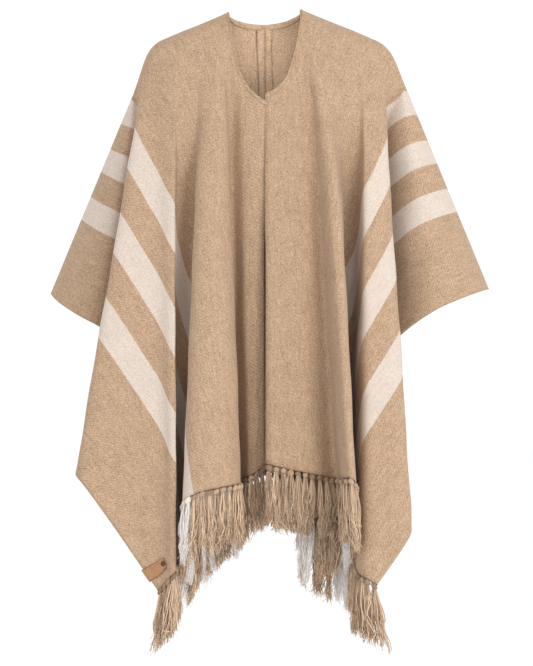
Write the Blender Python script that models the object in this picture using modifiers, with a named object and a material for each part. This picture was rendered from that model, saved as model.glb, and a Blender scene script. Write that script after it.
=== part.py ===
"""Andean poncho (ruana) filled out with no wearer: two striped wool lengths hung over the shoulders.

Each length runs from the front hem over one shoulder to the back hem, and the two are seamed down the
middle of the back and open down the front. Cloth is measured on the flat length by u, the distance from
the garment's middle, and v, the distance along the thread from the shoulder ridge. It hangs in straight
lines, here called rulings, which leave the ridge and fan out to the selvage and the hem.

World frame: metres, +Z up, +X to the wearer's left, front towards -Y. The origin lies on the middle line,
level with the two shoulder points on which the poncho is held.
"""
import math
from collections import namedtuple

import bpy
import numpy as np
from mathutils import Vector

# ---- driving sizes, metres -------------------------------------------------------------------------
HALF_WIDTH = 0.700        # flat width of one length: selvage to middle
HALF_LENGTH = 0.885       # shoulder ridge to hem, along the thread
WALL = 0.002              # thickness of the cloth
SEAM_GAP = 0.0003         # between pieces that are sewn or laid together
NECK_HALF = 0.062         # neck edge from the middle, on the ridge
# the neck edge's depth below the ridge, and how its curve runs from there to the ridge
NeckCurve = namedtuple("NeckCurve", "depth shape power")
NECK = {"front": NeckCurve(0.235, 1.2, 0.40), "back": NeckCurve(0.088, 1.0, 0.41)}
BEND_ROUND = 0.013        # how far folds are rounded, at the hem
SLIP_ROUND = 0.070        # how soon cloth has slipped out over the shoulder

KNOT_PITCH = 0.0133       # knots along the hem
KNOT_WIDTH = 0.0105
KNOT_HEIGHT = 0.006
KNOT_DEPTH = 0.0038
KNOT_TOP = 0.4            # share of that depth at a knot's top
KNOT_TURN = 4.0           # samples each way over which a knot's heading is taken
KNOT_GAP = 0.0012         # cloth edge to the strip of knots
TASSEL_LENGTH = 0.098
TASSEL_TIP = 0.65         # a lock's width at its end, in knots
HEM_END_MARGIN = 0.0060   # the strip of knots stops short of the hem's ends

LABEL_LENGTH = 0.041      # from the selvage inwards, on each face of the cloth
LABEL_WIDTH = 0.024
LABEL_THICK = 0.0015
LABEL_GAP = 0.0012        # leaf to cloth: the cloth is slightly bowed under it
LABEL_V = 0.853           # middle of the label, along the selvage
LABEL_STEPS = 4           # facets along a leaf, the first of them under the rivet
LABEL_MIDDLE = 0.4        # share of the width in the middle facets
RIVET_RADIUS = 0.0045
RIVET_HEIGHT = 0.0018

COLUMNS = 72              # rulings in a solid, ridge to middle
ROWS = 9                  # steps along a ruling
BEND_WEIGHT = 0.10        # extra rulings for each radian that an edge turns, as metres of edge
MOST_CROWDED = 3.0        # and the most of those for each metre of edge
NECK_WEIGHT = 0.9         # extra rulings along the neck, as metres of hem for each metre of neck
ROW_POWER = 1.5           # steps are closer together near the shoulder
FINE = 900                # samples across a sheet while it is laid out

# ---- the shoulder line, from the middle out to the selvage's tip -------------------------------------
RidgePoint = namedtuple("RidgePoint", "x y z")
RIDGE = {
    "right": [RidgePoint(0.0000, 0.000, 0.0980), RidgePoint(0.0342, 0.000, 0.0820),
              RidgePoint(0.0677, 0.000, 0.0661), RidgePoint(0.1105, 0.000, 0.0473),
              RidgePoint(0.1717, 0.000, 0.0221), RidgePoint(0.1930, 0.000, 0.0121),
              RidgePoint(0.2070, 0.002, -0.0018), RidgePoint(0.2142, 0.004, -0.0153),
              RidgePoint(0.2232, 0.010, -0.0468), RidgePoint(0.2389, 0.020, -0.0963),
              RidgePoint(0.3137, 0.060, -0.2664), RidgePoint(0.3884, 0.100, -0.4363)],
    "left": [RidgePoint(0.0000, 0.000, 0.0980), RidgePoint(0.0342, 0.000, 0.0846),
             RidgePoint(0.0671, 0.000, 0.0707), RidgePoint(0.1332, 0.000, 0.0432),
             RidgePoint(0.1854, 0.000, 0.0216), RidgePoint(0.2106, 0.000, 0.0097),
             RidgePoint(0.2225, 0.000, -0.0018), RidgePoint(0.2304, 0.000, -0.0144),
             RidgePoint(0.2394, 0.000, -0.0360), RidgePoint(0.2538, 0.000, -0.0817),
             RidgePoint(0.3301, 0.000, -0.2585), RidgePoint(0.4064, 0.000, -0.4352)],
}
NECK_POINT = 2            # the ridge point at the neck's edge

# ---- the folds, from the shoulder ridge round to the middle ------------------------------------------
# A ruling leaves the ridge at ridge_u, rounds the shoulder within about `round` and slips out by `slip` as it
# does. The fold grows to full size over the first `fade` metres. The ruling's angles from straight down are
# in degrees: out, away from the middle, and fwd or rear, away from the wearer.
Fold = namedtuple("Fold", "name ridge_u round slip fade front_out front_fwd back_out back_rear")
FOLDS = {
    "right": [
        Fold("ridge", 0.270, 0.000, 0.000, 0.13, 23.0, -12.0, 23.0, 12.0),
        Fold("arm face", 0.262, 0.004, 0.000, 0.13, 19.0, -2.5, 18.0, 18.0),
        Fold("arm face, inner", 0.254, 0.008, 0.000, 0.13, 10.5, 3.2, 10.0, 19.0),
        Fold("arm valley, outer", 0.248, 0.010, 0.000, 0.13, 0.5, -6.5, -2.0, 10.5),
        Fold("arm valley, inner", 0.243, 0.012, 0.000, 0.13, -3.0, -3.5, -5.0, 13.5),
        Fold("side crest", 0.226, 0.018, 0.000, 0.13, 9.6, 9.5, 8.5, 22.0),
        Fold("corner", 0.178, 0.030, 0.018, 0.26, -0.2, 9.5, -0.8, 19.0),
        Fold("side crest, inner", 0.142, 0.038, 0.022, 0.36, -0.3, 10.8, -3.0, 12.5),
        Fold("side valley, outer", 0.136, 0.039, 0.022, 0.38, -0.1, 5.5, -4.8, 2.5),
        Fold("side valley, inner", 0.112, 0.043, 0.012, 0.38, -0.1, 2.5, -4.8, 4.5),
        Fold("breast crest, outer", 0.100, 0.046, 0.006, 0.36, 2.4, 10.5, -0.4, 9.5),
        Fold("breast crest", 0.088, 0.048, 0.002, 0.34, 0.4, 12.5, -1.6, 11.5),
        Fold("breast crest, inner", 0.072, 0.047, 0.001, 0.30, -2.4, 9.5, -2.2, 8.5),
        Fold("middle valley", 0.060, 0.045, 0.000, 0.30, -0.7, 0.8, -1.7, 4.2),
        Fold("middle strip", 0.042, 0.042, 0.000, 0.28, -1.4, 4.5, -1.0, 4.2),
        Fold("middle edge", 0.000, 0.040, 0.000, 0.13, 0.0, 4.6, 0.0, 4.2),
    ],
    "left": [
        Fold("ridge", 0.275, 0.000, 0.000, 0.13, 22.4, 0.0, 22.4, 0.0),
        Fold("arm face", 0.268, 0.004, 0.000, 0.13, 18.0, 9.0, 18.0, 9.0),
        Fold("arm face, middle", 0.260, 0.008, 0.000, 0.13, 9.5, 11.5, 9.5, 12.5),
        Fold("arm face, inner", 0.256, 0.010, 0.000, 0.13, 2.0, 6.0, 2.0, 9.0),
        Fold("arm valley, outer", 0.250, 0.011, 0.000, 0.13, -7.0, -3.5, -6.0, 3.5),
        Fold("arm valley, inner", 0.245, 0.012, 0.000, 0.13, -10.0, -0.5, -8.5, 7.0),
        Fold("side crest", 0.216, 0.018, 0.000, 0.13, 3.2, 10.5, 3.5, 19.5),
        Fold("corner", 0.182, 0.028, 0.020, 0.26, -0.1, 12.0, -1.0, 18.5),
        Fold("side crest, inner", 0.152, 0.035, 0.030, 0.36, -0.8, 10.5, -3.0, 12.5),
        Fold("side valley, outer", 0.147, 0.036, 0.028, 0.38, -2.0, 1.6, -4.8, 3.5),
        Fold("side valley, end", 0.141, 0.038, 0.024, 0.38, -5.8, 1.8, -5.9, 2.6),
        Fold("side valley, inner", 0.135, 0.040, 0.020, 0.38, -5.8, 3.2, -6.0, 4.5),
        Fold("side valley, return", 0.125, 0.043, 0.012, 0.38, 0.1, 4.4, -3.4, 7.5),
        Fold("breast crest, outer", 0.112, 0.046, 0.005, 0.36, 2.8, 11.3, -1.0, 10.0),
        Fold("breast crest", 0.100, 0.048, 0.002, 0.32, 3.4, 14.0, -1.8, 11.5),
        Fold("breast crest, inner", 0.084, 0.048, 0.001, 0.28, 3.4, 11.5, -2.4, 8.5),
        Fold("middle valley", 0.070, 0.046, 0.000, 0.24, 3.6, 5.0, -2.0, 4.4),
        Fold("middle panel, outer", 0.058, 0.044, 0.000, 0.24, 2.8, 6.2, -1.5, 4.2),
        Fold("middle panel", 0.046, 0.042, 0.000, 0.20, 2.2, 7.0, -1.0, 4.2),
        Fold("middle panel, inner", 0.025, 0.040, 0.000, 0.18, 1.2, 7.0, -0.4, 4.2),
        Fold("middle edge", 0.000, 0.040, 0.000, 0.13, 0.0, 7.0, 0.0, 4.2),
    ],
}
SIDE_SIGN = {"right": -1.0, "left": 1.0}
FACE_SIGN = {"front": -1.0, "back": 1.0}


def smooth_curve(knots, values, at):
    """Values read from a smooth curve through the knots (cubic Hermite)."""
    knots = np.asarray(knots, float)
    values = np.asarray(values, float)
    slopes = np.gradient(values, knots, axis=0)
    i = np.clip(np.searchsorted(knots, at, side="right") - 1, 0, len(knots) - 2)
    span = knots[i + 1] - knots[i]
    s = (at - knots[i]) / span
    if values.ndim > 1:
        span, s = span[..., None], s[..., None]
    start = (2 * s**3 - 3 * s**2 + 1) * values[i] + (s**3 - 2 * s**2 + s) * span * slopes[i]
    end = (3 * s**2 - 2 * s**3) * values[i + 1] + (s**3 - s**2) * span * slopes[i + 1]
    return start + end


def smooth_step(x):
    x = np.clip(x, 0.0, 1.0)
    return x * x * (3 - 2 * x)


def unit(vectors):
    return vectors / np.linalg.norm(vectors, axis=-1, keepdims=True)


def running_length(points):
    steps = np.linalg.norm(np.diff(points, axis=0), axis=1)
    return np.concatenate([[0.0], np.cumsum(steps)])


def bend_filter(run):
    """A matrix that rounds what varies along an edge over BEND_ROUND, and less near the edge's ends."""
    room = np.minimum(run, run[-1] - run)
    width = np.minimum(BEND_ROUND, 0.5 * room) + 1e-5
    weight = np.exp(-0.5 * ((run[:, None] - run[None, :]) / width[:, None]) ** 2) * np.gradient(run)[None, :]
    return weight / weight.sum(1, keepdims=True)


def neck_reach(u, face):
    """How far from the ridge the neck edge lies at u: nothing outside the neck."""
    x = np.clip(u / NECK_HALF, 0.0, 1.0)
    return NECK[face].depth * (1 - x ** NECK[face].shape) ** NECK[face].power


class Sheet:
    """The front or the back of one length, as a fan of rulings."""

    def __init__(self, side, face):
        self.sign = SIDE_SIGN[side]
        self.face_sign = FACE_SIGN[face]
        self.face = face
        folds = FOLDS[side]
        table = np.array([fold[1:] for fold in folds])
        rank = np.arange(len(folds), dtype=float)
        corner = float([fold.name for fold in folds].index("corner"))
        fan_end = corner + 1
        self.rank = np.unique(np.append(np.linspace(0, rank[-1], FINE), corner))
        self.corner = int(np.searchsorted(self.rank, corner))
        own, other = ((4, 5), (6, 7)) if face == "front" else ((6, 7), (4, 5))

        # the angles run smoothly through the ridge from the other face of the cloth
        knots = np.concatenate([-rank[1:3][::-1], rank])
        out = np.concatenate([table[1:3, other[0]][::-1], table[:, own[0]]])
        away = np.concatenate([-table[1:3, other[1]][::-1], table[:, own[1]]])
        out = smooth_curve(knots, out, self.rank)
        away = smooth_curve(knots, away, self.rank)
        self.dir = self.direction(out, away)

        # the same fan with no folds, which the cloth follows close to the shoulder
        self.ridge_u = np.interp(self.rank, rank, table[:, 0])
        picked = table[[-1, int(fan_end), 0]]
        self.plain_dir = self.direction(np.interp(self.ridge_u, picked[:, 0], picked[:, own[0]]),
                                        np.interp(self.ridge_u, picked[:, 0], picked[:, own[1]]))
        self.round = np.maximum(np.interp(self.rank, rank, table[:, 1]), 1e-6)
        self.slip = smooth_curve(rank, table[:, 2], self.rank)
        self.fade = np.interp(self.rank, rank, table[:, 3])
        self.start = ridge_point(side, self.ridge_u)
        self.lay_out()

        # cloth this thick won't crease to a point, so each fold is rounded and the sheet laid out again
        soften = bend_filter(running_length(self.edge))
        self.dir = self.direction(soften @ out, soften @ away)
        self.lay_out()

    def direction(self, out, away):
        out, away = np.radians(out), np.radians(away)
        return np.stack([self.sign * np.sin(out) * np.cos(away), self.face_sign * np.sin(away),
                         -np.cos(out) * np.cos(away)], axis=-1)

    def on_ruling(self, i, reach):
        """Points at a distance along the rulings; i counts rulings and may fall between two."""
        def at(values):
            low = np.clip(np.floor(i).astype(int), 0, len(values) - 2)
            part = (i - low)[..., None] if values.ndim > 1 else i - low
            return values[low] * (1 - part) + values[low + 1] * part
        i = np.asarray(i, float)
        reach = np.asarray(reach, float)[..., None]
        grown = smooth_step(reach / at(self.fade)[..., None]) ** 2
        along = unit(at(self.plain_dir) * (1 - grown) + at(self.dir) * grown)
        level = np.array([0.0, self.face_sign, 0.0])
        radius = at(self.round)[..., None]
        sideways = np.array([self.sign, 0.0, 0.0])
        slipped = at(self.slip)[..., None] * (1 - np.exp(-reach / SLIP_ROUND)) * sideways
        rounded = radius * (1 - np.exp(-reach / radius)) * (level - along)
        return at(self.start) + reach * along + rounded + slipped

    def lay_out(self):
        """Finds where each ruling meets the selvage or the hem, by measuring along both."""
        count = len(self.rank)
        side_v = np.linspace(0, HALF_LENGTH, self.corner + 1)
        hem_u = np.linspace(HALF_WIDTH, 0, count - self.corner)
        for _ in range(12):
            self.end_u = np.concatenate([np.full(self.corner, HALF_WIDTH), hem_u])
            self.end_v = np.concatenate([side_v[:-1], np.full(count - self.corner, HALF_LENGTH)])
            self.reach = np.hypot(self.end_u - self.ridge_u, self.end_v)
            edge = self.on_ruling(np.arange(count), self.reach)
            run = running_length(edge)
            side_v = run[:self.corner + 1] / run[self.corner] * HALF_LENGTH
            hem_u = HALF_WIDTH * (run[-1] - run[self.corner:]) / (run[-1] - run[self.corner])
        self.edge = edge

    def on_facet(self, picks, i, part):
        """A point of the solid's own flat facets, a part of the way (0 to 1) along ruling i."""
        k = int(np.clip(np.searchsorted(picks, i, side="right") - 1, 0, len(picks) - 2))
        across = (i - picks[k]) / (picks[k + 1] - picks[k])
        reach = np.interp(picks[k:k + 2], np.arange(len(self.reach)), self.reach)
        ends = self.on_ruling(picks[k:k + 2], reach * part)
        return ends[0] * (1 - across) + ends[1] * across

    def neck_start(self):
        """The part of each ruling, 0 to 1, that the neck cuts away."""
        part = np.zeros(len(self.rank))
        for _ in range(20):
            u = self.ridge_u + (self.end_u - self.ridge_u) * part
            part = np.clip(neck_reach(u, self.face) / np.maximum(self.end_v, 1e-6), 0, 1)
            part[self.ridge_u >= NECK_HALF] = 0.0
        return part

    def at_cloth(self, picks, u, v):
        """The point of the solid at flat cloth coordinates, and its outward normal."""
        def spot(u, v):
            every = np.arange(len(self.reach))
            across = (u - self.ridge_u) * self.end_v - (self.end_u - self.ridge_u) * v
            i = np.interp(0.0, across, every)
            part = math.hypot(u - np.interp(i, every, self.ridge_u), v) / np.interp(i, every, self.reach)
            return self.on_facet(picks, i, part)
        step = 0.0008
        middle = spot(u, v)
        normal = unit(np.cross(spot(u - step, v) - middle, spot(u, v - step) - middle))
        facing = self.face_sign if normal[1] * self.face_sign > 0 else -self.face_sign
        return middle, normal * facing * self.face_sign


def ridge_point(side, u):
    points = np.array(RIDGE[side])
    run = running_length(points)
    knots = run - run[NECK_POINT] + NECK_HALF
    knots[:NECK_POINT] = [0.0, NECK_HALF / 2]
    return smooth_curve(knots, points, u) * np.array([SIDE_SIGN[side], 1.0, 1.0])


def pick_columns(front, back):
    """Rulings for the solid: closer where the edge bends, with one at the corner and at the neck."""
    weight = np.zeros(len(front.rank))
    for sheet in (front, back):
        steps = np.diff(sheet.edge, axis=0)
        length = np.linalg.norm(steps, axis=1)
        heading = unit(steps)
        turn = np.arccos(np.clip((heading[1:] * heading[:-1]).sum(1), -1, 1))
        weight[1:] += length
        turn[front.corner - 3:front.corner + 2] = 0.0
        weight[1:-1] += np.minimum(BEND_WEIGHT * turn, MOST_CROWDED * length[1:])
    rim = front.on_ruling(np.arange(len(weight)), front.reach * front.neck_start())
    rim = np.linalg.norm(np.diff(rim, axis=0), axis=1)
    weight[1:] += NECK_WEIGHT * np.where(front.ridge_u[1:] < NECK_HALF, rim, 0.0)
    run = np.cumsum(weight)
    picks = np.interp(np.linspace(0, run[-1], COLUMNS + 1), run, np.arange(len(run)))
    neck = len(front.rank) - 1 - np.interp(NECK_HALF, front.ridge_u[::-1], np.arange(len(front.rank)))
    for must in (front.corner, neck):
        picks[1 + np.argmin(np.abs(picks[1:-1] - must))] = must
    return picks, neck


# ---- Blender helpers ---------------------------------------------------------------------------------
def new_material(name, colour, roughness, metallic=0.0):
    material = bpy.data.materials.new(name)
    material.use_nodes = True
    shader = material.node_tree.nodes["Principled BSDF"]
    shader.inputs["Base Color"].default_value = (*colour, 1.0)
    shader.inputs["Roughness"].default_value = roughness
    shader.inputs["Metallic"].default_value = metallic
    return material


def add_object(name, points, faces, material, collection, smooth=True):
    mesh = bpy.data.meshes.new(name)
    mesh.from_pydata([tuple(map(float, p)) for p in points], [], faces)
    mesh.validate()
    mesh.materials.append(material)
    if smooth:
        mesh.shade_smooth()
        mesh.set_sharp_from_angle(angle=math.radians(40))
    thing = bpy.data.objects.new(name, mesh)
    collection.objects.link(thing)
    return thing


def solidify(thing, thickness):
    wall = thing.modifiers.new("wall", "SOLIDIFY")
    wall.thickness = thickness
    wall.offset = 0.0
    wall.use_even_offset = False
    return thing


# ---- the pieces --------------------------------------------------------------------------------------
def cloth_length(side, front, back, picks, neck, material, collection):
    """One woven length, front hem over the shoulder to back hem, as a wall."""
    steps = (np.arange(ROWS + 1) / ROWS) ** ROW_POWER
    corner = int(np.argmin(np.abs(picks - neck)))
    points = []
    faces = []
    grid = {}
    for sheet in (front, back):
        every = np.arange(len(sheet.rank))
        reach = np.interp(picks, every, sheet.reach)
        cut = np.interp(picks, every, sheet.neck_start())
        cut[:corner + 1] = 0.0
        for i, pick in enumerate(picks):
            # inside the neck a ruling starts at the neck's edge, in place of the last step that is cut off
            first = int(np.searchsorted(steps[:-1] + 0.7 * np.diff(steps), cut[i]))
            for j in range(first, ROWS + 1):
                if sheet is back and (i == 0 or (j == 0 and i <= corner)):
                    grid["back", i, j] = grid["front", i, j]
                    continue
                part = cut[i] if j == first else steps[j]
                point = sheet.on_ruling(pick, part * reach[i])
                point[0] += SIDE_SIGN[side] * SEAM_GAP / 2
                grid[sheet.face, i, j] = len(points)
                points.append(point)
    for face in ("front", "back"):
        for i in range(COLUMNS):
            for j in range(ROWS):
                ring = [(face, i, j), (face, i, j + 1), (face, i + 1, j + 1), (face, i + 1, j)]
                ring = [grid[spot] for spot in ring if spot in grid]
                if len(ring) < 3 or (len(ring) < 4 and i == corner):
                    continue
                outward = (face == "front") == (side == "left")
                faces.append(ring if not outward else ring[::-1])
    return solidify(add_object(side + "_length", points, faces, material, collection), WALL)


def lock_noise(k):
    """A fixed, uneven number between -1 and 1 for lock k."""
    return math.sin(12.9898 * (k + 1)) * math.cos(4.1 * k)


def fringe(side, sheet, picks, material, collection):
    """The row of knots along one hem as a narrow strip, with a four-sided lock below each knot."""
    every = np.arange(len(sheet.rank))
    hem = every[sheet.corner:]
    run = running_length(sheet.edge[hem])
    usable = run[-1] - 2 * HEM_END_MARGIN
    count = int(usable // KNOT_PITCH)
    pitch = (usable - KNOT_WIDTH) / (count - 1)
    points = []
    faces = []
    rings = []
    downs = []
    outward_sign = -sheet.face_sign * SIDE_SIGN[side]
    for k in range(count):
        for end in (0.0, KNOT_WIDTH):
            i = np.interp(HEM_END_MARGIN + k * pitch + end, run, hem)
            edge = sheet.on_facet(picks, i, 1.0)
            down = unit(edge - sheet.on_facet(picks, i, 0.98))
            after = sheet.on_facet(picks, min(i + KNOT_TURN, every[-1]), 1.0)
            before = sheet.on_facet(picks, max(i - KNOT_TURN, hem[0]), 1.0)
            along = after - before
            normal = unit(np.cross(along, down)) * outward_sign
            edge[0] += SIDE_SIGN[side] * SEAM_GAP / 2
            top = edge + down * KNOT_GAP
            low = top + down * KNOT_HEIGHT
            half = normal * KNOT_DEPTH / 2
            rings.append(len(points))
            downs.append(down)
            points += [top + half * KNOT_TOP, low + half, low - half, top - half * KNOT_TOP]
    flip = (sheet.face == "front") != (side == "left")

    def add(face):
        faces.append(face[::-1] if flip else face)

    def sides(a, b, with_bottom):
        for p in range(4):
            q = (p + 1) % 4
            if p == 1 and not with_bottom:
                continue
            add([a + p, b + p, b + q, a + q])
    for k in range(len(rings) - 1):
        sides(rings[k], rings[k + 1], with_bottom=k % 2 == 1)
    first, last = rings[0], rings[-1]
    add([first, first + 1, first + 2, first + 3])
    add([last + 3, last + 2, last + 1, last])
    for k in range(count):
        a, b = rings[2 * k], rings[2 * k + 1]
        root = [a + 1, b + 1, b + 2, a + 2]
        corners = np.array([points[r] for r in root])
        middle = corners.mean(0)
        fall = unit(downs[2 * k] + downs[2 * k + 1])
        length = TASSEL_LENGTH * (1 + 0.05 * lock_noise(k))
        tip = []
        for corner in corners - middle:
            tip.append(len(points))
            points.append(middle + corner * TASSEL_TIP + fall * length)
        for p in range(4):
            q = (p + 1) % 4
            add([root[p], root[q], tip[q], tip[p]])
        add(tip)
    name = "fringe_%s_%s" % (sheet.face, side)
    return add_object(name, points, faces, material, collection, smooth=False)


def label(sheet, picks, material, collection):
    """A leather strip folded over the selvage by the front corner, one leaf on each face of the cloth."""
    lift = WALL / 2 + LABEL_GAP + LABEL_THICK / 2
    across = LABEL_V + LABEL_WIDTH / 2 * np.array([-1.0, -LABEL_MIDDLE, LABEL_MIDDLE, 1.0])
    leaf = np.linspace(HALF_WIDTH - LABEL_LENGTH, HALF_WIDTH, LABEL_STEPS + 1)
    turns = np.linspace(0, math.pi, 6)[1:-1]
    points = []
    for v in across:
        rim, normal = sheet.at_cloth(picks, HALF_WIDTH - 1e-5, v)
        inner, _ = sheet.at_cloth(picks, HALF_WIDTH - 0.004, v)
        outward = unit(rim - inner)
        row = []
        for u in leaf:
            spot, up = sheet.at_cloth(picks, min(u, HALF_WIDTH - 1e-5), v)
            row.append(spot + up * lift)
        row += [rim + normal * lift * math.cos(a) + outward * lift * math.sin(a) for a in turns]
        for u in leaf[::-1]:
            spot, up = sheet.at_cloth(picks, min(u, HALF_WIDTH - 1e-5), v)
            row.append(spot - up * lift)
        points += row
    width = len(row)
    faces = [[j * width + k, j * width + k + 1, (j + 1) * width + k + 1, (j + 1) * width + k]
             for j in range(len(across) - 1) for k in range(width - 1)]
    return solidify(add_object("label", points, faces, material, collection), LABEL_THICK)


def rivet(name, sheet, picks, facing, material, collection):
    """One low domed head of the label's rivet, standing on a leaf."""
    # it stands on the flat of the leaf between four of the label's own points
    near = [sheet.at_cloth(picks, HALF_WIDTH - LABEL_LENGTH * (1 - along / LABEL_STEPS),
                           LABEL_V + across * LABEL_MIDDLE * LABEL_WIDTH / 2)
            for along, across in ((0, -1), (1, -1), (1, 1), (0, 1))]
    lift = WALL / 2 + LABEL_GAP + LABEL_THICK / 2
    leaf = np.array([spot + normal * facing * lift for spot, normal in near])
    spot = leaf.mean(0)
    upward = unit(np.cross(leaf[2] - leaf[0], leaf[3] - leaf[1]))
    upward *= math.copysign(1.0, float(upward @ near[0][1])) * facing
    seat = LABEL_THICK / 2 + SEAM_GAP
    bpy.ops.mesh.primitive_cylinder_add(vertices=14, radius=RIVET_RADIUS, depth=RIVET_HEIGHT)
    head = bpy.context.object
    head.name = head.data.name = name
    head.data.materials.append(material)
    bevel = head.modifiers.new("dome", "BEVEL")
    bevel.width = 0.0007
    bevel.segments = 1
    bevel.limit_method = "ANGLE"
    head.rotation_mode = "QUATERNION"
    head.rotation_quaternion = Vector((0, 0, 1)).rotation_difference(Vector(upward))
    head.location = Vector(spot + upward * (seat + RIVET_HEIGHT / 2))
    for owner in list(head.users_collection):
        owner.objects.unlink(head)
    collection.objects.link(head)
    return head


def main():
    for thing in list(bpy.data.objects):
        bpy.data.objects.remove(thing, do_unlink=True)
    poncho = bpy.data.collections.new("andean_poncho")
    bpy.context.scene.collection.children.link(poncho)
    wool = new_material("wool", (0.58, 0.41, 0.26), 0.95)
    yarn = new_material("fringe_yarn", (0.50, 0.35, 0.22), 0.95)
    leather = new_material("leather", (0.55, 0.27, 0.11), 0.6)
    metal = new_material("rivet_metal", (0.08, 0.06, 0.05), 0.45, 1.0)
    for side in ("right", "left"):
        front, back = Sheet(side, "front"), Sheet(side, "back")
        picks, neck = pick_columns(front, back)
        cloth_length(side, front, back, picks, neck, wool, poncho)
        fringe(side, front, picks, yarn, poncho)
        fringe(side, back, picks, yarn, poncho)
        if side == "right":
            label(front, picks, leather, poncho)
            rivet("rivet_front", front, picks, 1.0, metal, poncho)
            rivet("rivet_back", front, picks, -1.0, metal, poncho)


main()
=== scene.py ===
"""Looks of the andean poncho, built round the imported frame.

The cloth hangs in straight lines, called rulings, which leave the shoulder ridge and fan out to the selvage
and the hem. The same sizes and folds as in the frame's solids are laid out again here, more finely, so that
every point of the cloth knows its place on the flat length: u, from the garment's middle, and v, along the
thread from the shoulder. Stripes, weave, stitching, knots and tassels all follow u and v.

World frame: metres, +Z up, +X to the wearer's left, front towards -Y, origin level with the shoulder points.
"""
import math
from collections import namedtuple

import bmesh
import bpy
import numpy as np
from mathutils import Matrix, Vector


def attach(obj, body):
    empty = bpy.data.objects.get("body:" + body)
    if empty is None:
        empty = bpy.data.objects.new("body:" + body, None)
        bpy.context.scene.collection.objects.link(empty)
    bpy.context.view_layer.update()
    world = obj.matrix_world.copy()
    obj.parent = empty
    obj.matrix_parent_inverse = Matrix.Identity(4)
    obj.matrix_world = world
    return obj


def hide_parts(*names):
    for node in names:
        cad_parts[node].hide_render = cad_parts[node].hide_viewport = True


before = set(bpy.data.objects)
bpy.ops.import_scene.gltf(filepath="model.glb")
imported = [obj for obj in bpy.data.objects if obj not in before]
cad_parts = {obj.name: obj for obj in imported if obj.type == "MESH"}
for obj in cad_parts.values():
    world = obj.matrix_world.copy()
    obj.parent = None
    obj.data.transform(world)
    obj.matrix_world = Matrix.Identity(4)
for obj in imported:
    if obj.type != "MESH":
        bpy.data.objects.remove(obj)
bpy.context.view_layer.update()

# ==== sizes of the cloth, metres ====
HALF_WIDTH = 0.700  # flat width of one length: selvage to middle
HALF_LENGTH = 0.885  # shoulder ridge to hem, along the thread
SEAM_GAP = 0.0003
SEAM_LAP = 0.0006  # of the back halves, at the middle seam
NECK_HALF = 0.062
# the neck edge's depth below the ridge, and how its curve runs from there to the ridge
NeckCurve = namedtuple("NeckCurve", "depth shape power")
NECK = {"front": NeckCurve(0.235, 1.2, 0.40), "back": NeckCurve(0.088, 1.0, 0.41)}
BEND_ROUND = 0.013  # how far folds are rounded, at the hem
SLIP_ROUND = 0.070  # how soon cloth has slipped out over the shoulder
FINE = 900  # samples across a sheet while it is laid out
SOFT = 0.009  # how far to either side a fold is softened, and with which shares
SOFT_SHARES = ((-1.0, 0.07), (-0.67, 0.14), (-0.33, 0.19), (0.0, 0.20), (0.33, 0.19), (0.67, 0.14),
               (1.0, 0.07))
EVEN_OUT = 60  # rulings to either side over which their spacing is evened out

CLOTH_THICK = 0.0021
COLUMNS = 196  # rulings drawn, ridge to middle
ROWS = 112  # steps drawn along a ruling
BEND_WEIGHT = 0.10  # extra rulings for each radian that an edge turns, as metres of edge
MOST_CROWDED = 3.0  # and the most of those for each metre of edge
NECK_WEIGHT = 0.9  # extra rulings along the neck, as metres of hem for each metre of neck
ROW_POWER = 1.15  # steps are a little closer together near the shoulder

# pale stripes, from the middle of the garment out
STRIPES = ((0.317, 0.363), (0.411, 0.457), (0.505, 0.551))

# ---- the shoulder line, from the middle out to the selvage's tip: x, y, z ----
RIDGE = {
    "right": [(0, 0, 0.098), (0.0342, 0, 0.082), (0.0677, 0, 0.0661), (0.1105, 0, 0.0473),
              (0.1717, 0, 0.0221), (0.193, 0, 0.0121), (0.207, 0.002, -0.0018),
              (0.2142, 0.004, -0.0153), (0.2232, 0.01, -0.0468), (0.2389, 0.02, -0.0963),
              (0.3137, 0.06, -0.2664), (0.3884, 0.1, -0.4363)],
    "left": [(0, 0, 0.098), (0.0342, 0, 0.0846), (0.0671, 0, 0.0707), (0.1332, 0, 0.0432),
             (0.1854, 0, 0.0216), (0.2106, 0, 0.0097), (0.2225, 0, -0.0018), (0.2304, 0, -0.0144),
             (0.2394, 0, -0.036), (0.2538, 0, -0.0817), (0.3301, 0, -0.2585), (0.4064, 0, -0.4352)],
}
NECK_POINT = 2  # the ridge point at the neck's edge

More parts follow.
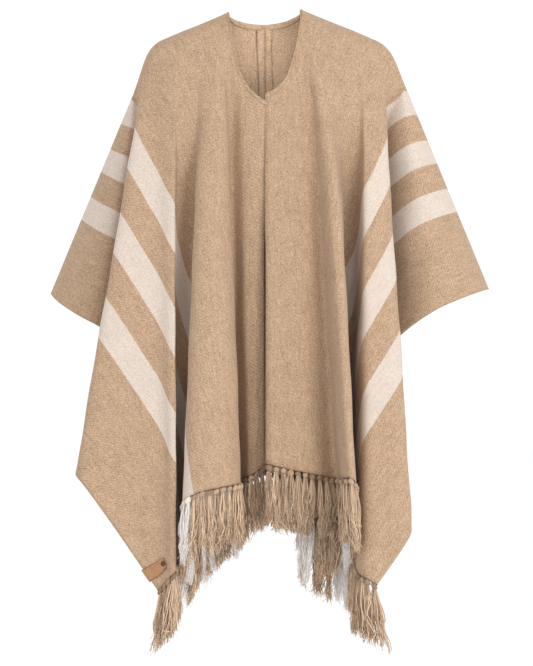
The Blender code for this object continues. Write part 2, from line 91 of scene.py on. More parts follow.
# ---- the folds, from the shoulder ridge round to the middle ----
# A ruling leaves the ridge at ridge_u, rounds the shoulder within about `round` and slips out by `slip` as
# it does. The fold grows to full size over the first `fade` metres. The ruling's angles from straight down
# are in degrees: out, away from the middle, and fwd or rear, away from the wearer.
# Each row: name, ridge_u, round, slip, fade; front out, front fwd; back out, back rear.
FOLDS = {"right": [
    ("ridge", 0.27, 0, 0, 0.13, 23, -12, 23, 12),
    ("arm face", 0.262, 0.004, 0, 0.13, 19, -2.5, 18, 18),
    ("arm face, inner", 0.254, 0.008, 0, 0.13, 10.5, 3.2, 10, 19),
    ("arm valley, outer", 0.248, 0.01, 0, 0.13, 0.5, -6.5, -2, 10.5),
    ("arm valley, inner", 0.243, 0.012, 0, 0.13, -3, -3.5, -5, 13.5),
    ("side crest", 0.226, 0.018, 0, 0.13, 9.6, 9.5, 8.5, 22),
    ("corner", 0.178, 0.03, 0.018, 0.26, -0.2, 9.5, -0.8, 19),
    ("side crest, inner", 0.142, 0.038, 0.022, 0.36, -0.3, 10.8, -3, 12.5),
    ("side valley, outer", 0.136, 0.039, 0.022, 0.38, -0.1, 5.5, -4.8, 2.5),
    ("side valley, inner", 0.112, 0.043, 0.012, 0.38, -0.1, 2.5, -4.8, 4.5),
    ("breast crest, outer", 0.1, 0.046, 0.006, 0.36, 2.4, 10.5, -0.4, 9.5),
    ("breast crest", 0.088, 0.048, 0.002, 0.34, 0.4, 12.5, -1.6, 11.5),
    ("breast crest, inner", 0.072, 0.047, 0.001, 0.3, -2.4, 9.5, -2.2, 8.5),
    ("middle valley", 0.06, 0.045, 0, 0.3, -0.7, 0.8, -1.7, 4.2),
    ("middle strip", 0.042, 0.042, 0, 0.28, -1.4, 4.5, -1, 4.2),
    ("middle edge", 0, 0.04, 0, 0.13, 0, 4.6, 0, 4.2),
], "left": [
    ("ridge", 0.275, 0, 0, 0.13, 22.4, 0, 22.4, 0),
    ("arm face", 0.268, 0.004, 0, 0.13, 18, 9, 18, 9),
    ("arm face, middle", 0.26, 0.008, 0, 0.13, 9.5, 11.5, 9.5, 12.5),
    ("arm face, inner", 0.256, 0.01, 0, 0.13, 2, 6, 2, 9),
    ("arm valley, outer", 0.25, 0.011, 0, 0.13, -7, -3.5, -6, 3.5),
    ("arm valley, inner", 0.245, 0.012, 0, 0.13, -10, -0.5, -8.5, 7),
    ("side crest", 0.216, 0.018, 0, 0.13, 3.2, 10.5, 3.5, 19.5),
    ("corner", 0.182, 0.028, 0.02, 0.26, -0.1, 12, -1, 18.5),
    ("side crest, inner", 0.152, 0.035, 0.03, 0.36, -0.8, 10.5, -3, 12.5),
    ("side valley, outer", 0.147, 0.036, 0.028, 0.38, -2, 1.6, -4.8, 3.5),
    ("side valley, end", 0.141, 0.038, 0.024, 0.38, -5.8, 1.8, -5.9, 2.6),
    ("side valley, inner", 0.135, 0.04, 0.02, 0.38, -5.8, 3.2, -6, 4.5),
    ("side valley, return", 0.125, 0.043, 0.012, 0.38, 0.1, 4.4, -3.4, 7.5),
    ("breast crest, outer", 0.112, 0.046, 0.005, 0.36, 2.8, 11.3, -1, 10),
    ("breast crest", 0.1, 0.048, 0.002, 0.32, 3.4, 14, -1.8, 11.5),
    ("breast crest, inner", 0.084, 0.048, 0.001, 0.28, 3.4, 11.5, -2.4, 8.5),
    ("middle valley", 0.07, 0.046, 0, 0.24, 3.6, 5, -2, 4.4),
    ("middle panel, outer", 0.058, 0.044, 0, 0.24, 2.8, 6.2, -1.5, 4.2),
    ("middle panel", 0.046, 0.042, 0, 0.2, 2.2, 7, -1, 4.2),
    ("middle panel, inner", 0.025, 0.04, 0, 0.18, 1.2, 7, -0.4, 4.2),
    ("middle edge", 0, 0.04, 0, 0.13, 0, 7, 0, 4.2),
]}
SIDE_SIGN = {"right": -1.0, "left": 1.0}
FACE_SIGN = {"front": -1.0, "back": 1.0}

# ---- creases: soft troughs (depth below 0) and ridges in the cloth, from one place to another ----
# Each row: u and v at its start, u and v at its end, width, depth.
CREASES = {("right", "front"): [
    (0.085, 0.066, 0.262, 0.034, 0.02, 0.0034), (0.066, 0.12, 0.054, 0.32, 0.018, -0.0026),
    (0.105, 0.1, 0.116, 0.36, 0.02, 0.0018), (0.158, 0.16, 0.172, 0.5, 0.018, -0.0018),
    (0.026, 0.42, 0.03, 0.8, 0.014, -0.0014), (0.175, 0.45, 0.215, 0.83, 0.02, 0.0026),
    (0.19, 0.05, 0.245, 0.16, 0.012, 0.0024), (0.34, 0.4, 0.475, 0.78, 0.022, -0.0026),
    (0.52, 0.5, 0.64, 0.84, 0.02, 0.003), (0.61, 0.6, 0.69, 0.74, 0.014, -0.0022),
    (0.43, 0.16, 0.56, 0.24, 0.014, 0.0022),
], ("left", "front"): [
    (0.085, 0.064, 0.268, 0.038, 0.02, 0.0034), (0.068, 0.06, 0.063, 0.22, 0.016, -0.003),
    (0.1, 0.16, 0.112, 0.4, 0.018, 0.0016), (0.156, 0.1, 0.182, 0.42, 0.02, -0.002),
    (0.02, 0.36, 0.034, 0.74, 0.015, 0.0018), (0.07, 0.5, 0.085, 0.86, 0.011, -0.002),
    (0.205, 0.05, 0.262, 0.15, 0.012, 0.0022), (0.42, 0.46, 0.52, 0.84, 0.022, 0.003),
    (0.56, 0.56, 0.655, 0.82, 0.018, -0.0026), (0.38, 0.14, 0.52, 0.2, 0.012, -0.002),
    (0.5, 0.1, 0.64, 0.19, 0.015, 0.002),
], ("right", "back"): [
    (0.06, 0.14, 0.05, 0.46, 0.015, -0.0032), (0.125, 0.08, 0.15, 0.42, 0.018, 0.0034),
    (0.2, 0.3, 0.25, 0.78, 0.018, -0.0028), (0.38, 0.38, 0.48, 0.8, 0.024, 0.0032),
    (0.56, 0.48, 0.65, 0.8, 0.018, -0.0024), (0.41, 0.14, 0.6, 0.22, 0.014, 0.002),
], ("left", "back"): [
    (0.052, 0.16, 0.04, 0.55, 0.016, 0.0026), (0.11, 0.06, 0.14, 0.36, 0.014, -0.0034),
    (0.23, 0.26, 0.3, 0.74, 0.02, 0.003), (0.42, 0.44, 0.5, 0.82, 0.02, -0.003),
    (0.59, 0.5, 0.67, 0.76, 0.016, 0.0024), (0.36, 0.12, 0.54, 0.2, 0.013, -0.0018),
]}
WOBBLE = 0.0011  # slow unevenness of hand-woven cloth, out of its surface

# ---- how the free edges lie ----
HEM_RAISED = 0.010  # back hem, away from the middle
HEM_LOWERED = 0.014  # back hem, at the middle
LAP_ASIDE = 0.0042  # the right front over the left, above
LAP_FORWARD = 0.0055
LAP_BACK = 0.0045  # the left front under it
PARTED = 0.0011  # each front from the middle, below
CORNER_RAISED = 0.013  # the left front's corner at the neck

# ---- sewing ----
TURNING_WIDTH = 0.011  # neck edge turned to the inside
TURNING_THICK = 0.0011
TOPSTITCH_IN = 0.0076  # from the neck edge
STITCH_LONG = 0.0034
STITCH_PITCH = 0.0046
STITCH_RADIUS = 0.00034
ALLOWANCE_WIDTH = 0.0125  # of the middle seam of the back, on the inside
ALLOWANCE_THICK = 0.0012

# ---- fringe ----
KNOT_PITCH = 0.0133
KNOT_WIDTH = 0.0105
KNOT_AXES = 0.0060, 0.0049, 0.0052  # half its length, and half its thickness two ways
KNOT_DROP = 0.0016 + 0.0038  # from the hem to a knot's middle
GATHERED = 9  # warp ends drawn from the hem into each knot
TASSEL_LENGTH = 0.098
BACK_SHARE = 0.90  # length of the back tassels, as a share of the front ones
HEM_END_MARGIN = 0.0006
YARNS = 34  # yarns in a tassel
YARN_STEPS = 8
YARN_RADIUS = 0.00068
CORNER_U = 0.61, 0.08  # where tassels begin to be fuller towards the corner, and over how much
STRAY_SHARE = 0.13  # of the yarns, that curl away from their tassel
STRAY_CURL = 0.0130
CURL = 0.0042
CORNER_DRIFT = 0.012  # of tassels at a corner, outward

# ---- label and rivet ----
LABEL_LENGTH = 0.041
LABEL_WIDTH = 0.024
LABEL_THICK = 0.0015
LABEL_GAP = 0.0012
LABEL_V = 0.853
LABEL_CORNER = 0.006
RIVET_RADIUS = 0.0045
RIVET_HEIGHT = 0.0018
RIVET_U = 0.6641


# ==== the cloth's form ====
def smooth_curve(knots, values, at):
    """Values read from a smooth curve through the knots (cubic Hermite)."""
    knots = np.asarray(knots, float)
    values = np.asarray(values, float)
    slopes = np.gradient(values, knots, axis=0)
    i = np.clip(np.searchsorted(knots, at, side="right") - 1, 0, len(knots) - 2)
    span = knots[i + 1] - knots[i]
    s = (at - knots[i]) / span
    if values.ndim > 1:
        span, s = span[..., None], s[..., None]
    start = (2 * s**3 - 3 * s**2 + 1) * values[i] + (s**3 - 2 * s**2 + s) * span * slopes[i]
    end = (3 * s**2 - 2 * s**3) * values[i + 1] + (s**3 - s**2) * span * slopes[i + 1]
    return start + end


def smooth_step(x):
    x = np.clip(x, 0.0, 1.0)
    return x * x * (3 - 2 * x)


def unit(vectors):
    return vectors / np.maximum(np.linalg.norm(vectors, axis=-1, keepdims=True), 1e-12)


def running_length(points):
    steps = np.linalg.norm(np.diff(points, axis=0), axis=1)
    return np.concatenate([[0.0], np.cumsum(steps)])


def bend_filter(run):
    """A matrix that rounds what varies along an edge over BEND_ROUND, and less near the edge's ends."""
    room = np.minimum(run, run[-1] - run)
    width = np.minimum(BEND_ROUND, 0.5 * room) + 1e-5
    weight = np.exp(-0.5 * ((run[:, None] - run[None, :]) / width[:, None]) ** 2) * np.gradient(run)[None, :]
    return weight / weight.sum(1, keepdims=True)


def neck_reach(u, face):
    """How far from the ridge the neck edge lies at u: nothing outside the neck."""
    x = np.clip(u / NECK_HALF, 0.0, 1.0)
    return NECK[face].depth * (1 - x ** NECK[face].shape) ** NECK[face].power


def ridge_point(side, u):
    points = np.array(RIDGE[side])
    run = running_length(points)
    knots = run - run[NECK_POINT] + NECK_HALF
    knots[:NECK_POINT] = [0.0, NECK_HALF / 2]
    return smooth_curve(knots, points, u) * np.array([SIDE_SIGN[side], 1.0, 1.0])


class Sheet:
    """The front or the back of one length, as a fan of rulings."""

    def __init__(self, side, face):
        self.side = side
        self.sign = SIDE_SIGN[side]
        self.face_sign = FACE_SIGN[face]
        self.face = face
        folds = FOLDS[side]
        table = np.array([fold[1:] for fold in folds])
        rank = np.arange(len(folds), dtype=float)
        corner = [fold[0] for fold in folds].index("corner")
        self.rank = np.unique(np.append(np.linspace(0, rank[-1], FINE), corner))
        self.corner = int(np.searchsorted(self.rank, corner))
        self.every = np.arange(len(self.rank))
        own, other = ((4, 5), (6, 7)) if face == "front" else ((6, 7), (4, 5))

        # the angles run smoothly through the ridge from the other face of the cloth
        knots = np.concatenate([-rank[1:3][::-1], rank])
        out = np.concatenate([table[1:3, other[0]][::-1], table[:, own[0]]])
        away = np.concatenate([-table[1:3, other[1]][::-1], table[:, own[1]]])
        out = smooth_curve(knots, out, self.rank)
        away = smooth_curve(knots, away, self.rank)
        self.dir = self.direction(out, away)

        # the same fan with no folds, which the cloth follows close to the shoulder
        self.ridge_u = np.interp(self.rank, rank, table[:, 0])
        picked = table[[-1, corner + 1, 0]]
        self.plain_dir = self.direction(np.interp(self.ridge_u, picked[:, 0], picked[:, own[0]]),
                                        np.interp(self.ridge_u, picked[:, 0], picked[:, own[1]]))
        self.round = np.maximum(np.interp(self.rank, rank, table[:, 1]), 1e-6)
        self.slip = smooth_curve(rank, table[:, 2], self.rank)
        self.fade = np.interp(self.rank, rank, table[:, 3])
        self.start = ridge_point(side, self.ridge_u)
        self.lay_out()

        # cloth this thick won't crease to a point, so each fold is rounded and the sheet laid out again
        soften = bend_filter(running_length(self.edge))
        self.dir = self.direction(soften @ out, soften @ away)
        self.lay_out()
        # how far apart the rulings are, at the ridge and at the edge
        bell = np.exp(-0.5 * (3 * np.arange(-EVEN_OUT, EVEN_OUT + 1) / EVEN_OUT) ** 2)
        spacing = [np.linalg.norm(np.gradient(line, axis=0), axis=1) for line in (self.start, self.edge)]
        self.apart = [np.convolve(np.pad(steps, EVEN_OUT, mode="edge"), bell / bell.sum(), "valid")
                      for steps in spacing]
        self.cut = self.neck_start()

    def at(self, i, values):
        return np.interp(i, self.every, values)

    def direction(self, out, away):
        out, away = np.radians(out), np.radians(away)
        return np.stack([self.sign * np.sin(out) * np.cos(away), self.face_sign * np.sin(away),
                         -np.cos(out) * np.cos(away)], axis=-1)

    def on_ruling(self, i, reach):
        """Points at a distance along the rulings; i counts rulings and may fall between two."""
        i = np.asarray(i, float)
        low = np.clip(np.floor(i).astype(int), 0, len(self.rank) - 2)
        part = i - low

        def at(values):
            between = part[..., None] if values.ndim > 1 else part
            return values[low] * (1 - between) + values[low + 1] * between
        reach = np.asarray(reach, float)[..., None]
        grown = smooth_step(reach / at(self.fade)[..., None]) ** 2
        along = unit(at(self.plain_dir) * (1 - grown) + at(self.dir) * grown)
        level = np.array([0.0, self.face_sign, 0.0])
        radius = at(self.round)[..., None]
        sideways = np.array([self.sign, 0.0, 0.0])
        slipped = at(self.slip)[..., None] * (1 - np.exp(-reach / SLIP_ROUND)) * sideways
        rounded = radius * (1 - np.exp(-reach / radius)) * (level - along)
        return at(self.start) + reach * along + rounded + slipped

    def lay_out(self):
        """Finds where each ruling meets the selvage or the hem, by measuring along both."""
        count = len(self.rank)
        side_v = np.linspace(0, HALF_LENGTH, self.corner + 1)
        hem_u = np.linspace(HALF_WIDTH, 0, count - self.corner)
        for _ in range(12):
            self.end_u = np.concatenate([np.full(self.corner, HALF_WIDTH), hem_u])
            self.end_v = np.concatenate([side_v[:-1], np.full(count - self.corner, HALF_LENGTH)])
            self.reach = np.hypot(self.end_u - self.ridge_u, self.end_v)
            edge = self.on_ruling(np.arange(count), self.reach)
            run = running_length(edge)
            side_v = run[:self.corner + 1] / run[self.corner] * HALF_LENGTH
            hem_u = HALF_WIDTH * (run[-1] - run[self.corner:]) / (run[-1] - run[self.corner])
        self.edge = edge

    def neck_start(self):
        """The part of each ruling, 0 to 1, that the neck cuts away."""
        part = np.zeros(len(self.rank))
        for _ in range(20):
            u = self.ridge_u + (self.end_u - self.ridge_u) * part
            part = np.clip(neck_reach(u, self.face) / np.maximum(self.end_v, 1e-6), 0, 1)
            part[self.ridge_u >= NECK_HALF] = 0.0
        return part

    def flat(self, i, part):
        """Flat cloth coordinates u and v of a part of the way, 0 to 1, along ruling i."""
        start = self.at(i, self.ridge_u)
        return start + (self.at(i, self.end_u) - start) * part, self.at(i, self.end_v) * part

    def ruled(self, i, part):
        return self.on_ruling(i, part * self.at(i, self.reach))

    def plain(self, i, part):
        """The ruled sheet with its folds softened: a mean over places up to SOFT to either side."""
        i, part = np.broadcast_arrays(np.asarray(i, float), np.asarray(part, float))
        last = self.every[-1]
        at_ridge, at_edge = (self.at(i, apart) for apart in self.apart)
        reach = SOFT / ((1 - part) * at_ridge + part * at_edge)
        room = np.minimum(np.minimum(i, last - i), np.abs(i - self.corner))
        reach = room * (1 - np.exp(-reach / np.maximum(room, 1e-6)))
        return sum(share * self.ruled(np.clip(i + aside * reach, 0, last), part)
                   for aside, share in SOFT_SHARES)

    def normal(self, i, part):
        """The outward normal at the same places."""
        step, last = 0.6, self.every[-1]
        across = self.plain(np.minimum(i + step, last), part) - self.plain(np.maximum(i - step, 0), part)
        step = 0.004
        down = self.plain(i, np.minimum(part + step, 1.0)) - self.plain(i, np.maximum(part - step, 0.0))
        return unit(np.cross(across, down)) * (-self.face_sign * self.sign)

    def point(self, i, part, lift=0.0):
        """Points of the finished cloth, creases and all, moved out by lift."""
        i, part = np.broadcast_arrays(np.asarray(i, float), np.asarray(part, float))
        u, v = self.flat(i, part)
        out = self.relief(u, v) + lift
        spot = self.plain(i, part) + self.normal(i, part) * out[..., None]
        return spot + self.opening(u, v)

    def relief(self, u, v):
        """How far creases and the cloth's own unevenness stand out of the plain sheet."""
        total = np.zeros_like(u)
        for u_from, v_from, u_to, v_to, width, depth in CREASES[self.side, self.face]:
            along = np.array([u_to - u_from, v_to - v_from])
            length = np.hypot(*along)
            along = along / length
            du, dv = u - u_from, v - v_from
            run = (du * along[0] + dv * along[1]) / length
            aside = (du * along[1] - dv * along[0]) / width
            body = smooth_step(run / 0.35) * smooth_step((1 - run) / 0.35)
            total = total + depth * body * np.exp(-aside**2)
        phase = 1.7 * self.sign + 0.9 * self.face_sign
        slow = np.sin(u * 41 + v * 9 + phase) * np.sin(v * 27 - u * 13 + 2 * phase)
        edge = np.sin(v * 63 + phase) * smooth_step((u - HALF_WIDTH + 0.04) / 0.04)
        hem = np.sin(u * 71 + phase) * smooth_step((v - HALF_LENGTH + 0.05) / 0.05)
        grown = smooth_step(v / 0.12)
        return total + WOBBLE * grown * (slow + edge + hem)

    def opening(self, u, v):
        """Moves the free edges: the right front laps the left over the chest, and below they part."""
        shift = np.full(u.shape + (3,), 0.0)
        shift[..., 0] = self.sign * SEAM_GAP / 2
        if self.face == "back":
            shift[..., 0] -= self.sign * SEAM_LAP * smooth_step(1 - u / 0.01)
            swept = smooth_step((u - 0.10) / 0.15) * smooth_step((0.64 - u) / 0.12)
            hem = HEM_RAISED * swept - HEM_LOWERED * smooth_step(1 - u / 0.10)
            shift[..., 2] += smooth_step((v - 0.5) / 0.35) * hem
        else:
            near = smooth_step(1 - u / 0.075)
            lap = smooth_step((v - 0.19) / 0.04) * smooth_step((0.475 - v) / 0.08)
            parted = smooth_step((v - 0.455) / 0.05)
            if self.side == "right":
                shift[..., 0] += near * (LAP_ASIDE * lap - PARTED * parted)
                shift[..., 1] -= near * LAP_FORWARD * lap
            else:
                corner = smooth_step(1 - u / 0.040) * smooth_step(1 - (v - NECK["front"].depth) / 0.13)
                shift[..., 0] += near * PARTED * parted
                shift[..., 1] += near * LAP_BACK * lap
                shift[..., 2] += CORNER_RAISED * corner
        return shift

    def find(self, u, v):
        """The ruling and the part of the way along it at flat cloth coordinates."""
        across = (u - self.ridge_u) * self.end_v - (self.end_u - self.ridge_u) * v
        i = np.interp(0.0, across, self.every)
        return i, math.hypot(u - self.at(i, self.ridge_u), v) / self.at(i, self.reach)

    def spot(self, u, v, lift=0.0):
        return self.point(*self.find(u, v), lift)


def pick_columns(front, back):
    """Rulings to draw: closer where the edge bends, with one at the corner and at the neck."""
    weight = np.zeros(len(front.rank))
    for sheet in (front, back):
        steps = np.diff(sheet.edge, axis=0)
        length = np.linalg.norm(steps, axis=1)
        heading = unit(steps)
        turn = np.arccos(np.clip((heading[1:] * heading[:-1]).sum(1), -1, 1))
        weight[1:] += length
        turn[front.corner - 3:front.corner + 2] = 0.0
        weight[1:-1] += np.minimum(BEND_WEIGHT * turn, MOST_CROWDED * length[1:])
    rim = front.on_ruling(np.arange(len(weight)), front.reach * front.neck_start())
    rim = np.linalg.norm(np.diff(rim, axis=0), axis=1)
    weight[1:] += NECK_WEIGHT * np.where(front.ridge_u[1:] < NECK_HALF, rim, 0.0)
    run = np.cumsum(weight)
    picks = np.interp(np.linspace(0, run[-1], COLUMNS + 1), run, np.arange(len(run)))
    neck = len(front.rank) - 1 - np.interp(NECK_HALF, front.ridge_u[::-1], np.arange(len(front.rank)))
    for must in (front.corner, neck):
        picks[1 + np.argmin(np.abs(picks[1:-1] - must))] = must
    return picks, neck


# ==== shaders ====
class Socket:
    """A value in a shader. Arithmetic on it adds Math nodes."""

    def __init__(self, finish, link):
        self.finish = finish
        self.link = link

    def __add__(self, other):
        return self.finish.math("ADD", self, other)

    def __sub__(self, other):
        return self.finish.math("SUBTRACT", self, other)

    def __mul__(self, other):
        return self.finish.math("MULTIPLY", self, other)

    def __truediv__(self, other):
        return self.finish.math("DIVIDE", self, other)

    def __rsub__(self, other):
        return self.finish.math("SUBTRACT", other, self)

    __radd__ = __add__


class Finish:
    """A material while it is put together."""

    def __init__(self, name, roughness, **constants):
        self.material = bpy.data.materials.new(name)
        self.material.use_nodes = True
        self.tree = self.material.node_tree
        self.shader = self.tree.nodes["Principled BSDF"]
        self.shader.inputs["Roughness"].default_value = roughness
        for socket, value in constants.items():
            self.shader.inputs[socket.replace("_", " ")].default_value = value

    def node(self, kind, settings=None, inputs=None, output=0):
        """Adds a node: its settings first, then the values or links of its sockets."""
        node = self.tree.nodes.new(kind)
        for name, value in (settings or {}).items():
            setattr(node, name, value)
        for name, value in (inputs or {}).items():
            if isinstance(value, Socket):
                self.tree.links.new(value.link, node.inputs[name])
            else:
                node.inputs[name].default_value = value
        return Socket(self, node.outputs[output])

    def math(self, operation, *values):
        return self.node("ShaderNodeMath", {"operation": operation}, dict(enumerate(values)))

    def clamp(self, value):
        return self.node("ShaderNodeClamp", None, {"Value": value})

    def vector(self, x, y, z=0.0):
        return self.node("ShaderNodeCombineXYZ", None, {"X": x, "Y": y, "Z": z})

    def place(self):
        """Where a point is on the object."""
        return self.node("ShaderNodeTexCoord", output=3)

    def noise(self, vector, scale=1.0, detail=2.0, roughness=0.5):
        inputs = {"Vector": vector, "Scale": scale, "Detail": detail, "Roughness": roughness}
        return self.node("ShaderNodeTexNoise", None, inputs)

    def mix(self, factor, first, second):
        """A colour between two, each a link or (r, g, b)."""
        def colour(value):
            return value if isinstance(value, Socket) else (*value, 1.0)
        inputs = {0: factor, 6: colour(first), 7: colour(second)}
        return self.node("ShaderNodeMix", {"data_type": "RGBA"}, inputs, 2)

    def between(self, value, low, high, soft):
        """1 where value lies between low and high, with edges `soft` wide."""
        return self.clamp((value - low) / soft) * self.clamp((high - value) / soft)

    def cloth(self):
        """u and v of the flat cloth, from the piece's UV map."""
        place = self.node("ShaderNodeUVMap", {"uv_map": "cloth"})
        return (self.node("ShaderNodeSeparateXYZ", None, {0: place}, 0),
                self.node("ShaderNodeSeparateXYZ", None, {0: place}, 1))

    def paint(self, colour):
        self.tree.links.new(colour.link, self.shader.inputs["Base Color"])

    def emboss(self, height, distance, strength):
        inputs = {"Height": height, "Distance": distance, "Strength": strength}
        self.tree.links.new(self.node("ShaderNodeBump", None, inputs).link, self.shader.inputs["Normal"])


CAMEL_DARK = (0.190, 0.118, 0.067)
CAMEL_LIGHT = (0.550, 0.384, 0.258)
CREAM_DARK = (0.430, 0.352, 0.292)
CREAM_LIGHT = (0.680, 0.588, 0.508)
KNOT_COLOURS = (0.200, 0.128, 0.076), (0.545, 0.385, 0.262), (0.460, 0.388, 0.336), (0.790, 0.700, 0.620)
# painted shade: near black-brown colours for the warp ends, standing for the deep shade in the gaps between
# the knots
SHADE_PAINTED_END_COLOURS = (0.060, 0.038, 0.022), (0.190, 0.128, 0.080), (0.200, 0.165, 0.140), (0.420, 0.360, 0.320)
YARN_COLOURS = (0.260, 0.172, 0.108), (0.900, 0.665, 0.465), (0.800, 0.740, 0.700), (0.960, 0.930, 0.900)
TWILL_PITCH = 0.0060  # between twill lines, across the cloth
RIB_PITCH = 0.0036  # between the picks that show in the pale stripes


def stripe_mask(finish, across, along):
    """1 on the pale stripes. Their edges step by a yarn or so."""
    jitter = (finish.noise(finish.vector(across * 90, along * 620)) - 0.5) * 0.0016
    edge = across + jitter
    return sum((finish.between(edge, low, high, 0.0009) for low, high in STRIPES[1:]),
               finish.between(edge, *STRIPES[0], 0.0009))


def wool_finish():
    """Twill of camel wool with pale stripes along the warp: mixed yarns, twill lines, nap."""
    finish = Finish("wool_twill", 0.93, Sheen_Weight=0.12, Sheen_Roughness=0.5, Specular_IOR_Level=0.15)
    u, v = finish.cloth()
    across = finish.math("ABSOLUTE", u)
    stripes = stripe_mask(finish, across, v)
    speck = finish.noise(finish.place(), 420.0, 2.0, 0.7)
    streak = finish.noise(finish.vector(u * 300, v * 26, 3.0))
    fleck = finish.noise(finish.vector(u * 330, v * 250, 7.0))
    blotch = finish.noise(finish.vector(u * 46, v * 30, 1.0), detail=3.0)
    waver = finish.noise(finish.vector(u * 120, v * 120, 5.0))
    twill = finish.math("SINE", (u + v) * (2 * math.pi / TWILL_PITCH) + waver * 1.4)
    ribs = finish.math("SINE", v * (2 * math.pi / RIB_PITCH) + waver * 1.6)
    flecks = finish.clamp((fleck - 0.60) * 7)
    tone = 0.5 + (speck - 0.5) * 1.85 + (streak - 0.5) * 0.5 + (blotch - 0.5) * 0.25 + twill * 0.08
    camel = finish.mix(finish.clamp(tone - flecks * 0.35 + 0.12), CAMEL_DARK, CAMEL_LIGHT)
    pale_tone = 0.60 + (speck - 0.5) * 1.8 + (streak - 0.5) * 0.4 + (blotch - 0.5) * 0.20 + ribs * 0.18
    cream = finish.mix(finish.clamp(pale_tone), CREAM_DARK, CREAM_LIGHT)
    finish.paint(finish.mix(stripes, camel, cream))
    finish.emboss(speck * 0.80 + twill * 0.10 + ribs * 0.06, 0.0005, 0.22)
    return finish.material


def yarn_finish(name, dark, light, pale_dark, pale_light):
    """Single yarns of knots and tassels: each a little lighter or darker than the next, with fuzz."""
    finish = Finish(name, 0.9, Sheen_Weight=0.15, Sheen_Roughness=0.5, Specular_IOR_Level=0.15)
    u, v = finish.cloth()
    stripes = stripe_mask(finish, finish.math("ABSOLUTE", u), v)
    yarn = finish.math("FLOOR", v)
    along = v - yarn
    each = finish.node("ShaderNodeTexWhiteNoise", {"noise_dimensions": "1D"}, {"W": yarn})
    fuzz = finish.noise(finish.vector(yarn * 3.1, along * 60))
    tone = finish.clamp(0.05 + each * 0.85 + (fuzz - 0.5) * 0.9)
    camel = finish.mix(tone, dark, light)
    cream = finish.mix(tone, pale_dark, pale_light)
    finish.paint(finish.mix(stripes, camel, cream))
    twist = finish.math("SINE", along * 260 + each * 6)
    finish.emboss(twist * 0.5 + fuzz * 0.5, 0.0003, 0.5)
    return finish.material


def thread_finish(name, colour):
    """Sewing thread."""
    finish = Finish(name, 0.7, Specular_IOR_Level=0.25)
    ply = finish.noise(finish.place(), 900.0)
    darker = tuple(0.7 * part for part in colour)
    finish.paint(finish.mix(finish.clamp((ply - 0.3) * 2), darker, colour))
    finish.emboss(ply, 0.0002, 0.5)
    return finish.material


def leather_finish():
    """Undyed vegetable-tanned leather: pores, soft mottling, edges burnished darker."""
    finish = Finish("saddle_leather", 0.52, Specular_IOR_Level=0.4)
    place = finish.place()
    from_end, from_side = finish.cloth()
    mottle = finish.noise(place, 190.0, 4.0, 0.6)
    pores = finish.node("ShaderNodeTexVoronoi", {"feature": "SMOOTH_F1"}, {"Vector": place, "Scale": 1500.0})
    edge = finish.clamp(1 - finish.math("MINIMUM", from_end, from_side) / 0.0022)
    tan = finish.mix(finish.clamp((mottle - 0.28) * 2.0), (0.300, 0.142, 0.064), (0.430, 0.225, 0.112))
    finish.paint(finish.mix(edge * 0.75, tan, (0.140, 0.060, 0.026)))
    finish.emboss(pores * 0.5 + mottle * 0.4 - edge * 0.8, 0.0004, 0.5)
    return finish.material


def rivet_finish():
    """Dark antiqued metal, rubbed bright in places."""
    finish = Finish("antique_rivet", 0.42, Metallic=1.0)
    wear = finish.noise(finish.place(), 700.0, 4.0, 0.6)
    finish.paint(finish.mix(finish.clamp((wear - 0.42) * 4), (0.055, 0.045, 0.036), (0.200, 0.165, 0.130)))
    finish.emboss(wear, 0.0002, 0.5)
    return finish.material


# ==== making pieces ====
def add_object(name, data):
    thing = bpy.data.objects.new(name, data)
    bpy.context.scene.collection.objects.link(thing)
    return thing


def add_piece(name, points, faces, flat, material):
    """A mesh piece that rides on the poncho. flat holds u and v for each point."""
    mesh = bpy.data.meshes.new(name)
    mesh.from_pydata(np.asarray(points, float).tolist(), [], [list(map(int, face)) for face in faces])
    layer = mesh.uv_layers.new(name="cloth")
    corners = np.zeros(len(mesh.loops), np.int32)
    mesh.loops.foreach_get("vertex_index", corners)
    layer.data.foreach_set("uv", np.asarray(flat, np.float32)[corners].ravel())
    mesh.materials.append(material)
    mesh.shade_smooth()
    piece = add_object(name, mesh)
    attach(piece, "root")
    return piece


def thicken(piece, thickness):
    wall = piece.modifiers.new("wall", "SOLIDIFY")
    wall.thickness = thickness
    wall.offset = 0.0
    wall.use_even_offset = False
    return piece


def face_outwards(piece):
    fix = bmesh.new()
    fix.from_mesh(piece.data)
    bmesh.ops.recalc_face_normals(fix, faces=fix.faces)
    fix.to_mesh(piece.data)
    fix.free()


def turns(count):
    return 2 * math.pi * np.arange(count) / count


def grid_faces(rows, columns, flip=False):
    """Quads of a grid of points stored row by row."""
    j, k = np.meshgrid(np.arange(rows - 1), np.arange(columns - 1), indexing="ij")
    first = (j * columns + k).ravel()
    quads = np.stack([first, first + 1, first + 1 + columns, first + columns], axis=1)
    return quads[:, ::-1] if flip else quads


def add_grid(name, columns, flat, flip, material):
    """A strip of cloth, from its columns of points."""
    points, flat = np.stack(columns, axis=1), np.stack(flat, axis=1)
    faces = grid_faces(*points.shape[:2], flip)
    return add_piece(name, points.reshape(-1, 3), faces, flat.reshape(-1, 2), material)


def signed(sheet, u, v):
    """Flat coordinates for the whole garment: u across it, v from front hem to back hem."""
    return np.stack([u * sheet.sign, v * sheet.face_sign], axis=-1)


